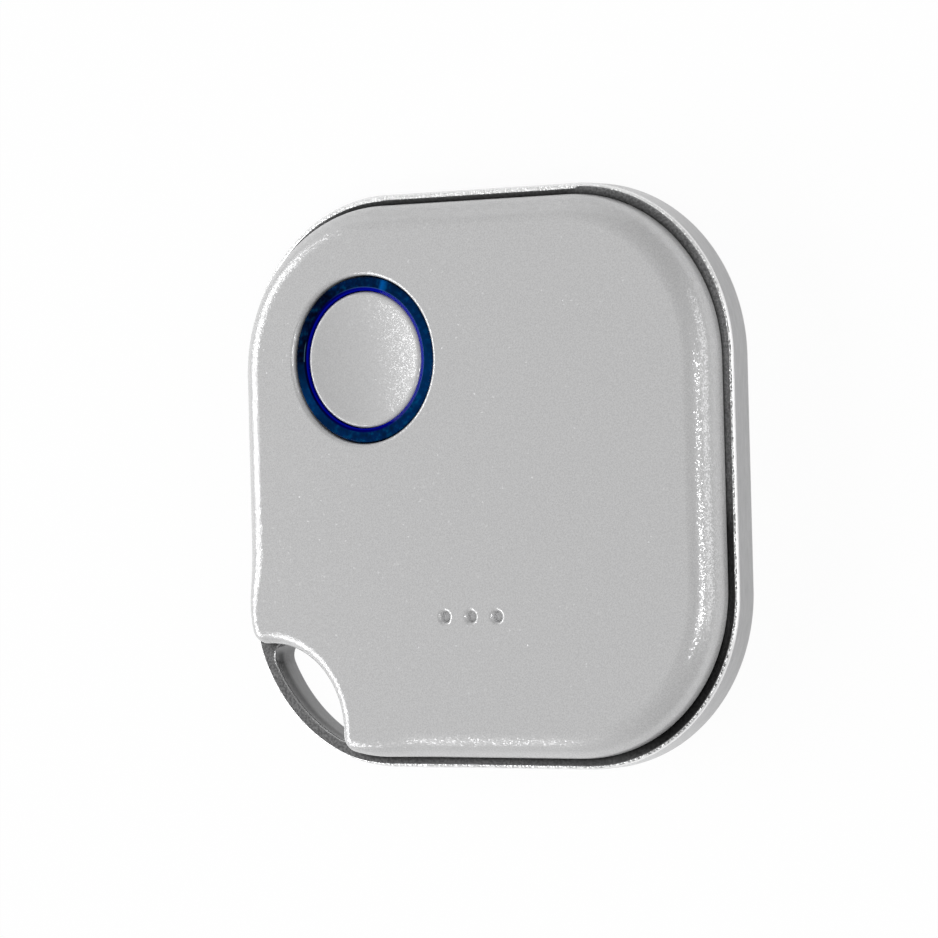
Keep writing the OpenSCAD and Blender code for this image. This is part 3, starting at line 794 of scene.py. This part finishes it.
class FOB_OT_mid_frame(Operator):
    """Polished frame with the bar of the key eye, the cover rails and the screw lugs"""

    bl_idname = "fob.mid_frame"
    bl_label = "Frame"

    def body(self, s, z0, z1):
        """The band with its lips, finer at the key eye and wider along the upper side."""
        straight = s["half"] - s["corner"]
        near, run = 5.0, 4.0

        def upper(at):
            along_top = at.y > straight and at.x < straight
            return eased(s, at, near, run, 0.08, 0.45 if along_top else 0.3)

        def under(at):
            return eased(s, at, near, run, 0.3, 0.5)

        return rounded(prism(square_path(s["half"], s["corner"], 64), z0, z1), [(z0, under), (z1, upper)], 0.5, 8)

    def eye_rim(self, bm, s, middle, z):
        """The edges of the key eye at one height."""
        def on_rim(v):
            return (abs(v.co.z - z) < MERGE and (v.co.xy - middle).length < s["notch"] + NEAR
                    and v.co.x > s["bar"] - s["half"] - NEAR)

        return [e for e in bm.edges if len(e.link_faces) == 2 and all(on_rim(v) for v in e.verts)
                and any(abs(f.normal.z) < 0.5 for f in e.link_faces)]

    def lug(self, at, turn, z0, inside):
        """A screw lug with the web that ties it to the wall."""
        web = block((4, 0, z0 + LUG_HEIGHT / 2), (8, 2, LUG_HEIGHT))
        bmesh.ops.rotate(web, cent=(0, 0, 0), matrix=Matrix.Rotation(math.radians(turn), 3, "Z"), verts=web.verts[:])
        bmesh.ops.translate(web, vec=(*at, 0), verts=web.verts[:])
        lug = carved(rod(LUG_RADIUS, z0, z0 + LUG_HEIGHT, 48, at), [], [web])
        return carved(lug, [inside.copy()], mode="INTERSECT")

    def execute(self, context):
        s = sizes()
        half, corner = s["half"], s["corner"]
        z0, z1 = low_z("mid_frame") / MM, high_z("mid_frame") / MM
        mouth_wall = FRAME_WALL + RAIL_WIDTH
        cavity = prism(inset_path(s, half, corner, FRAME_WALL, EYE_WALL, 32), z0 + RAIL_THICK, z1 + CLEAR)
        mouth = prism(inset_path(s, half, corner, mouth_wall, EYE_WALL, 24), z0 - CLEAR, z0 + CLEAR)
        eye = prism(eye_path(s), z0 - CLEAR, z1 + CLEAR)
        gaps = [block((side * (half - mouth_wall + 0.25), row + COVER_TRAVEL + HOOK_LENGTH / 2, z0), (1.3, 2.6, 2))
                for side in (-1, 1) for row in HOOK_ROWS]
        bm = carved(self.body(s, z0, z1), [cavity, mouth, eye] + gaps)
        middle = Vector((-s["notch_place"], -s["notch_place"]))
        for z, width in ((z0, 0.1), (z1, 0.16)):
            soften(bm, self.eye_rim(bm, s, middle, z), width, 4)
        within = FRAME_WALL - 0.3
        inside = prism(square_path(half - within, corner - within, 32), z0 - CLEAR, z1)
        for at, turn in zip(screw_places(s), (45, -50, 180)):
            sunk = lathe((0, z0 - CLEAR), [cut_line(SCREW_HEAD, 0), cut_line(0, CLEAR + 0.5),
                                           cut_line(SCREW_SHANK - SCREW_HEAD, 0), cut_line(0, 2),
                                           cut_line(-SCREW_SHANK, 0)], 40, at)
            bm = carved(bm, [sunk], [self.lug(at, turn, z0, inside)])
        inside.free()
        metal = polished_metal_with_painted_light("polished frame", tuple(context.scene.fob.colours.metal), middle * MM)
        finished(bm, "MidFrame", metal, "mid_frame", "case", 100)
        return {"FINISHED"}


class FOB_OT_light_ring(Operator):
    """Dark blue light ring with its flange and legs"""

    bl_idname = "fob.light_ring"
    bl_label = "Light ring"

    def execute(self, context):
        s = sizes()
        top, foot = high_z("light_ring") / MM, low_z("light_ring") / MM
        inner = s["face_z"] - FACE_WALL
        outer, bore = s["ring_outer"], s["ring_inner"]
        flange, thick, e, slope, fall = 0.82, 0.25, 0.1, 0.22, 0.06
        centre = button_centre(s)
        bm = lathe((bore, inner - thick), [
            cut_line(outer - bore + flange, 0), cut_line(0, thick), cut_line(-flange, 0),
            cut_line(0, top - e - inner), cut_arc(outer - e, top - e, QUARTER, 6),
            cut_line(bore + slope + e - outer, 0), cut_line(-slope, -fall),
            cut_line(0, inner - thick - top + fall)], 160, centre)

        def on_ridge(v):
            return abs(v.co.z - top) < MERGE and (v.co.xy - Vector(centre)).length < bore + slope + NEAR

        soften(bm, [g for g in bm.edges if all(on_ridge(v) for v in g.verts)], 0.05, 3)
        leg, leg_place = 0.45, outer + 0.22
        for turn in (45, 135, 225):
            place = (*on_circle(centre, leg_place, math.radians(turn)), (foot + inner) / 2 - 0.1)
            bmesh.ops.create_cone(bm, cap_ends=True, segments=24, radius1=leg, radius2=leg, depth=inner - 0.2 - foot,
                                  matrix=Matrix.Translation(place))
        c = context.scene.fob.colours
        blue = clear_blue("clear blue", tuple(c.ring), tuple(c.ring_glint_blue), (centre[0] * MM, centre[1] * MM),
                          (bore + slope) * MM)
        finished(bm, "LightRing", blue, "light_ring", "case")
        return {"FINISHED"}


class FOB_OT_button_cap(Operator):
    """Dished push button with its flange and nub"""

    bl_idname = "fob.button_cap"
    bl_label = "Button"

    def execute(self, context):
        s = sizes()
        top, foot = high_z("button_cap") / MM, low_z("button_cap") / MM
        inner = s["face_z"] - FACE_WALL
        r, e, dish = s["ring_inner"] - RUN_GAP, 0.22, s["dish"]
        land, flange, thick, wall, stem = 0.3, 0.47, 0.3, 0.7, 0.9
        chord = r - land
        bow = (chord ** 2 + dish ** 2) / (2 * dish)
        nub = high_z("switch_plunger") / MM + 0.02
        bm = lathe((0, top - dish), [
            cut_arc(0, top - dish + bow, math.asin(chord / bow), 24), cut_line(land - e, 0),
            cut_arc(r - e, top - e, -QUARTER, 8), cut_line(0, foot + thick - top + e), cut_line(flange, 0),
            cut_line(0, -thick), cut_line(-flange - wall, 0), cut_line(0, inner - foot), cut_line(stem - r + wall, 0),
            cut_line(0, nub - inner), cut_line(-stem, 0)], 128, button_centre(s))
        grey = metallic_grey("button grey", tuple(context.scene.fob.colours.cap), 0.2, 0.1)
        finished(bm, "ButtonCap", grey, "button_cap", "button")
        return {"FINISHED"}


class FOB_OT_inner_parts(Operator):
    """Finishes of the board, switch, sounder, cell and screws"""

    bl_idname = "fob.inner_parts"
    bl_label = "Inner parts"

    def dome(self, sheet):
        """The snap dome, copied from the imported solid and given a mesh of its own; the real dome flattens under the
        plunger.
        """
        obj = finished(copied("switch_dome"), "SwitchDome", sheet, "switch_dome", "case")
        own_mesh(obj)

    def execute(self, context):
        black = moulded("black plastic", (0.02, 0.02, 0.02), 0.45)
        sheet = rolled_metal("sheet steel", (0.6, 0.6, 0.6), 0.3, (900, 14000, 14000))
        cell = rolled_metal("cell steel", (0.58, 0.58, 0.58), 0.28, (16000, 1200, 16000))
        spring = rolled_metal("spring steel", (0.6, 0.6, 0.58), 0.3, (1200, 15000, 15000))
        for nodes, material in ((("switch_base", "switch_plunger", "radio_chip"), black),
                                (("switch_cover", "clock_crystal"), sheet),
                                (("cell_can", "cell_cap"), cell),
                                (("cell_clip", "cell_leaf"), spring)):
            for node in nodes:
                dress(node, material)
        self.dome(sheet)
        dress("main_board", solder_mask("solder mask", tuple(context.scene.fob.colours.board)))
        dress("ring_leds", moulded("milky resin", (0.8, 0.78, 0.68), 0.25))
        dress("board_passives", moulded("fired clay", (0.32, 0.22, 0.14), 0.5))
        dress("board_antenna", rolled_metal("copper foil", (0.6, 0.34, 0.18), 0.3, (9000, 9000, 9000)))
        dress("sound_mesh", woven("acoustic cloth", (0.95, 0.95, 0.96)))
        dress("buzzer_gasket", moulded("foam rubber", (0.02, 0.02, 0.02), 0.8, 0.2))
        dress("buzzer_plate", rolled_metal("brass sheet", (0.62, 0.46, 0.16), 0.3, (900, 15000, 15000)))
        dress("buzzer_ceramic", moulded("silvered ceramic", (0.7, 0.7, 0.66), 0.35))
        dress("buzzer_contacts", rolled_metal("gilt strip", (0.65, 0.5, 0.25), 0.25, (2000, 14000, 14000)))
        dress("cell_gasket", moulded("seal plastic", (0.7, 0.7, 0.64), 0.4))
        dress("cell_core", moulded("pressed powder", (0.03, 0.03, 0.03), 0.8, 0.2))
        dress("case_screws", rolled_metal("dark screw steel", (0.3, 0.3, 0.31), 0.35, (12000, 12000, 2000)))
        return {"FINISHED"}


class FOB_OT_stage(Operator):
    """Pale floor, soft light and the camera"""

    bl_idname = "fob.stage"
    bl_label = "Stage"

    def lamp(self, name, way, distance, size, power):
        light = bpy.data.lights.new(name, "AREA")
        light.shape = "RECTANGLE"
        light.size, light.size_y = size
        light.energy = power
        obj = bpy.data.objects.new(name, light)
        way = Vector(way).normalized()
        obj.location = way * distance
        obj.rotation_euler = way.to_track_quat("Z", "Y").to_euler()
        bpy.context.collection.objects.link(obj)

    def floor(self):
        """A floor that the camera sees white from above and clear from below."""
        bm = bmesh.new()
        bmesh.ops.create_grid(bm, x_segments=1, y_segments=1, size=3.0)
        bmesh.ops.translate(bm, vec=(0, 0, -FLOOR_DROP), verts=bm.verts[:])
        floor = as_object(bm, "Floor")
        pale = Finish("pale floor", Base_Color=(0.9, 0.9, 0.9, 1), Roughness=0.9)
        white = pale.add("ShaderNodeEmission", {"Color": (1, 1, 1, 1), "Strength": 1.0}).outputs[0]
        clear = pale.add("ShaderNodeBsdfTransparent").outputs[0]
        below = pale.add("ShaderNodeNewGeometry").outputs["Backfacing"]
        above = pale.blended(pale.seen(*FLOOR_SEEN), pale.shader.outputs[0], white)
        pale.surface(pale.blended(below, above, clear))
        floor.data.materials.append(pale.material)

    def room(self, scene, sky):
        """An even room with three brighter sides. The camera sees it white."""
        scene.world = bpy.data.worlds.new("Room")
        scene.world.use_nodes = True
        room = Graph(scene.world.node_tree)
        place = room.add("ShaderNodeTexCoord").outputs["Generated"]
        level = sky
        for way, begin, end, gain in (((-0.55, -0.8, 0.15), 0.75, 0.93, 2.2), ((0.55, 0.0, 0.83), 0.75, 0.93, 2.0),
                                      ((-0.5, 0.85, 0.15), 0.78, 0.95, 4.0)):
            towards = room.vector("DOT_PRODUCT", place, Vector(way).normalized())
            side = room.spread(towards, begin, end, 1.0, gain, interpolation_type="SMOOTHSTEP")
            level = room.number("MULTIPLY", level, side)
        white = room.add("ShaderNodeMix", {"Factor": room.seen(*ROOM_SEEN), "A": level, "B": 1.0})
        light = room.nodes["Background"].inputs
        light["Color"].default_value = (1, 1, 1, 1)
        room.links.new(white.outputs["Result"], light["Strength"])

    def camera(self, scene, lens):
        camera = bpy.data.cameras.new("Camera")
        camera.sensor_width = 36
        camera.lens = lens
        camera.clip_start = 0.01
        obj = bpy.data.objects.new("Camera", camera)
        right, up, back = (0.8344, -0.0261, -0.5505), (0.0218, 0.9997, -0.0144), (0.5507, 0.0, 0.8347)
        turn = Matrix((right, up, back)).transposed()
        obj.matrix_world = Matrix.Translation((0.16516, 0.00063, 0.25606)) @ turn.to_4x4()
        bpy.context.collection.objects.link(obj)
        scene.camera = obj

    def execute(self, context):
        t = context.scene.fob.stage
        self.floor()
        self.lamp("KeyLight", (-0.86, -0.16, 0.455), 3.0, (3.6, 1.4), t.key)
        self.lamp("SideLight", (0.9, 0.05, 0.42), 3.0, (3.2, 1.5), t.side)
        self.lamp("EdgeLight", (0.53, -0.19, 0.84), 3.0, (0.9, 0.55), t.rim)
        self.room(context.scene, t.sky)
        self.camera(context.scene, t.lens)
        context.scene.view_settings.view_transform = "Standard"
        return {"FINISHED"}


class FOB_PT_panel(Panel):
    """Lists the steps that build the smart button"""

    bl_label = "Smart button"
    bl_space_type = "VIEW_3D"
    bl_region_type = "UI"
    bl_category = "Smart button"

    def draw(self, context):
        for step in STEPS:
            self.layout.operator(step.bl_idname)
        for group in (context.scene.fob.sizes, context.scene.fob.colours, context.scene.fob.stage):
            column = self.layout.column()
            for key in group.__annotations__:
                column.prop(group, key)


STEPS = (FOB_OT_front_shell, FOB_OT_back_cover, FOB_OT_mid_frame, FOB_OT_light_ring, FOB_OT_button_cap,
         FOB_OT_inner_parts, FOB_OT_stage)
CLASSES = (CaseSizes, CaseColours, StageSettings, FobSettings) + STEPS + (FOB_PT_panel,)


def register():
    for cls in CLASSES:
        bpy.utils.register_class(cls)
    bpy.types.Scene.fob = PointerProperty(type=FobSettings)


def unregister():
    del bpy.types.Scene.fob
    for cls in reversed(CLASSES):
        bpy.utils.unregister_class(cls)


def main():
    register()
    bpy.ops.fob.front_shell()
    bpy.ops.fob.back_cover()
    bpy.ops.fob.mid_frame()
    bpy.ops.fob.light_ring()
    bpy.ops.fob.button_cap()
    bpy.ops.fob.inner_parts()
    bpy.ops.fob.stage()
    bpy.context.view_layer.update()


if __name__ == "__main__":
    main()
